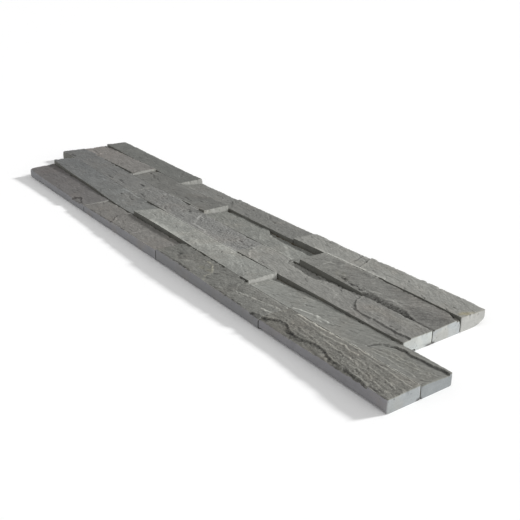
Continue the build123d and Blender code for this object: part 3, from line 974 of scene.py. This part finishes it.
def tinged(tree, colour, factors):
    return add_node(tree, "VectorMath", {0: colour, 1: factors}, operation="MULTIPLY").outputs[0]


def mask(tree, name):
    return add_node(tree, "Attribute", attribute_name=name).outputs["Fac"]


def tint(tree, name):
    return add_node(tree, "Attribute", attribute_name=name).outputs["Color"]


def object_place(tree):
    return add_node(tree, "TexCoord").outputs["Object"]


def noise_at(tree, place, scale, detail, roughness):
    """Noise from 0 to 1, with its scale in cells to the metre."""
    sockets = {"Vector": place, "Scale": scale, "Detail": detail, "Roughness": roughness}
    return add_node(tree, "TexNoise", sockets).outputs["Fac"]


def bumped(tree, shader, strength, distance, height):
    """Gives a shader a bump of this height, with its distance in metres."""
    sockets = {"Strength": strength, "Distance": distance, "Height": height}
    tree.links.new(add_node(tree, "Bump", sockets).outputs[0], shader.inputs["Normal"])


def riven_material():
    """Cleft stone: mottled and gritty, streaked along its grain, with pale marks and brown places, painted
    shade in its dips and painted highlights on its rises and arrises.
    """
    material, tree, shader = new_material("slate_riven")
    place = object_place(tree)
    along, across, grit = (mask(tree, name) for name in ("along", "across", "grit"))

    def drawn_out(stretch):
        return add_node(tree, "CombineXYZ", {0: along, 1: times(tree, across, stretch)}).outputs[0]

    mottle = noise_at(tree, place, 70, 5, 0.62)
    crumbs = noise_at(tree, place, 240, 3, 0.65)
    speckle = noise_at(tree, place, 620, 4, 0.75)
    fleck = noise_at(tree, place, 330, 3, 0.7)
    streaks = noise_at(tree, drawn_out(7.0), 60, 4, 0.6)
    striae = noise_at(tree, drawn_out(20.0), 45, 3, 0.6)
    blotches = ranged(tree, noise_at(tree, place, 330, 2, 0.6), 0.38, 0.6)
    value = total(
        tree,
        1.0,
        centred(tree, mottle, 0.55),
        times(tree, centred(tree, speckle, 1.7), grit),
        times(tree, centred(tree, crumbs, 0.7), grit),
        centred(tree, streaks, 0.5),
        times(tree, centred(tree, striae, 1.1), mask(tree, "striae")),
        ranged(tree, fleck, 0.60, 0.80, 0.35),
        # painted shade in dips, painted highlight on rises
        times(tree, mask(tree, "hollow"), 0.24),
        # pale marks: bruises and flecks, with painted highlights on arrises and painted light in front of a
        # ledge
        times(tree, mask(tree, "pale"), 0.65),
        times(tree, times(tree, mask(tree, "broken"), blotches), -0.4),
    )
    stone = mixed(tree, mask(tree, "rightward"), tint(tree, "tint"), tint(tree, "right_tint"))
    base = brightened(tree, stone, value)
    earth = ranged(tree, noise_at(tree, place, 38, 3, 0.6), 0.5, 0.72, 0.6)
    brown = mixed(tree, earth, base, tinged(tree, base, WARM_RIVEN))
    colour = mixed(tree, mask(tree, "ochre"), brown, tinged(tree, base, RUST))
    tree.links.new(colour, shader.inputs["Base Color"])
    tree.links.new(total(tree, 0.70, centred(tree, speckle, 0.3)), shader.inputs["Roughness"])
    height = total(tree, speckle, times(tree, fleck, 0.8), crumbs)
    bumped(tree, shader, times(tree, grit, 0.6), 0.0009, height)
    return material


def sawn_material():
    """Sawn stone: smoother than the riven face, with saw marks, fine pits and an olive top rim."""
    material, tree, shader = new_material("slate_sawn")
    place = object_place(tree)
    mottle = noise_at(tree, place, 120, 5, 0.6)
    fine = noise_at(tree, place, 1100, 3, 0.65)
    level = add_node(tree, "Mapping", {"Vector": place, "Scale": (0.15, 0.15, 1)}).outputs[0]
    saw_marks = noise_at(tree, level, 900, 2, 0.5)
    pits = ranged(tree, noise_at(tree, place, 420, 2, 0.5), 0.66, 0.72)
    value = total(
        tree,
        1.0,
        centred(tree, mottle, 0.45),
        centred(tree, fine, 0.35),
        centred(tree, saw_marks, 0.15),
        times(tree, pits, -0.4),
    )
    base = brightened(tree, tint(tree, "tint"), value)
    earth = ranged(tree, noise_at(tree, place, 45, 3, 0.6), 0.52, 0.7, 0.7)
    brown = mixed(tree, earth, base, tinged(tree, base, WARM_SAWN))
    rim = ranged(tree, mask(tree, "below_top"), 0.9, 0.1, 0.6)
    stone = mixed(tree, rim, brown, srgb(*RIM_TINT))
    # Painted shade inside the joints and at the foot of two seams
    colour = mixed(tree, mask(tree, "glue"), stone, srgb(*PAINTED_SHADE_TINT))
    tree.links.new(colour, shader.inputs["Base Color"])
    tree.links.new(total(tree, 0.66, centred(tree, mottle, 0.3)), shader.inputs["Roughness"])
    height = total(tree, fine, times(tree, pits, -1.5), times(tree, saw_marks, 0.5))
    bumped(tree, shader, 0.35, 0.0003, height)
    return material


def adhesive_material():
    """Brown resin, lumpy and half dull."""
    material, tree, shader = new_material("adhesive_resin")
    lumps = noise_at(tree, object_place(tree), 400, 3, 0.6)
    colour = mixed(tree, lumps, *(srgb(*resin) for resin in RESIN_TINTS))
    tree.links.new(colour, shader.inputs["Base Color"])
    shader.inputs["Roughness"].default_value = 0.5
    bumped(tree, shader, 0.4, 0.0004, lumps)
    return material


def floor_material():
    material, _, shader = new_material("floor_white")
    shader.inputs["Base Color"].default_value = (FLOOR_WHITE, FLOOR_WHITE, FLOOR_WHITE, 1)
    shader.inputs["Roughness"].default_value = 0.95
    return material


def add_camera():
    yaw, pitch, roll = (math.radians(v) for v in (CAMERA_YAW, CAMERA_PITCH, CAMERA_ROLL))
    level = math.cos(pitch)
    ahead = Vector((-math.sin(yaw) * level, math.cos(yaw) * level, -math.sin(pitch)))
    right = Vector((math.cos(yaw), math.sin(yaw), 0))
    up = right.cross(ahead)
    rolled_right = math.cos(roll) * right + math.sin(roll) * up
    rolled_up = -math.sin(roll) * right + math.cos(roll) * up
    data = bpy.data.cameras.new("camera")
    data.sensor_fit = "HORIZONTAL"
    data.sensor_width = SENSOR_MM
    data.lens = FOCAL_PIXELS / IMAGE_PIXELS * SENSOR_MM
    data.clip_start = CAMERA_NEAR_M
    camera = bpy.data.objects.new("camera", data)
    place = Matrix((rolled_right, rolled_up, -ahead)).transposed().to_4x4()
    place.translation = Vector(CAMERA_MM) * MM
    camera.matrix_world = place
    bpy.context.scene.collection.objects.link(camera)
    bpy.context.scene.camera = camera


def add_floor():
    mesh = bpy.data.meshes.new("floor")
    signs = ((-1, -1), (1, -1), (1, 1), (-1, 1))
    corners = [(x * FLOOR_REACH_M, y * FLOOR_REACH_M, 0) for x, y in signs]
    mesh.from_pydata(corners, [], [(0, 1, 2, 3)])
    mesh.materials.append(floor_material())
    floor = bpy.data.objects.new("floor", mesh)
    bpy.context.scene.collection.objects.link(floor)


def add_sun(name, strength, width, azimuth, elevation):
    """A distant light, with its width and its place in the sky in degrees."""
    data = bpy.data.lights.new(name, "SUN")
    data.energy = strength * math.pi
    data.angle = math.radians(width)
    turn, rise = math.radians(azimuth), math.radians(elevation)
    level = math.cos(rise)
    towards = Vector((math.cos(turn) * level, math.sin(turn) * level, math.sin(rise)))
    lamp = bpy.data.objects.new(name, data)
    lamp.rotation_euler = towards.to_track_quat("Z", "Y").to_euler()
    bpy.context.scene.collection.objects.link(lamp)


def add_lights():
    world = bpy.data.worlds.new("studio")
    world.use_nodes = True
    sky = world.node_tree.nodes["Background"].inputs
    sky["Color"].default_value = (1, 1, 1, 1)
    sky["Strength"].default_value = SKY_STRENGTH
    bpy.context.scene.world = world
    add_sun("key", **KEY_LIGHT)
    add_sun("side", **SIDE_LIGHT)


stone_materials = (riven_material(), sawn_material())
resin_material = adhesive_material()

for index, node in enumerate(STRIPS):
    build_stone(node, FIRST_SEED + SEED_STEP * index, stone_materials)
for node in BEDS:
    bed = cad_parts[node]
    bed.data.materials.clear()
    bed.data.materials.append(resin_material)

add_floor()
add_lights()
add_camera()
bpy.context.scene.view_settings.view_transform = "Standard"
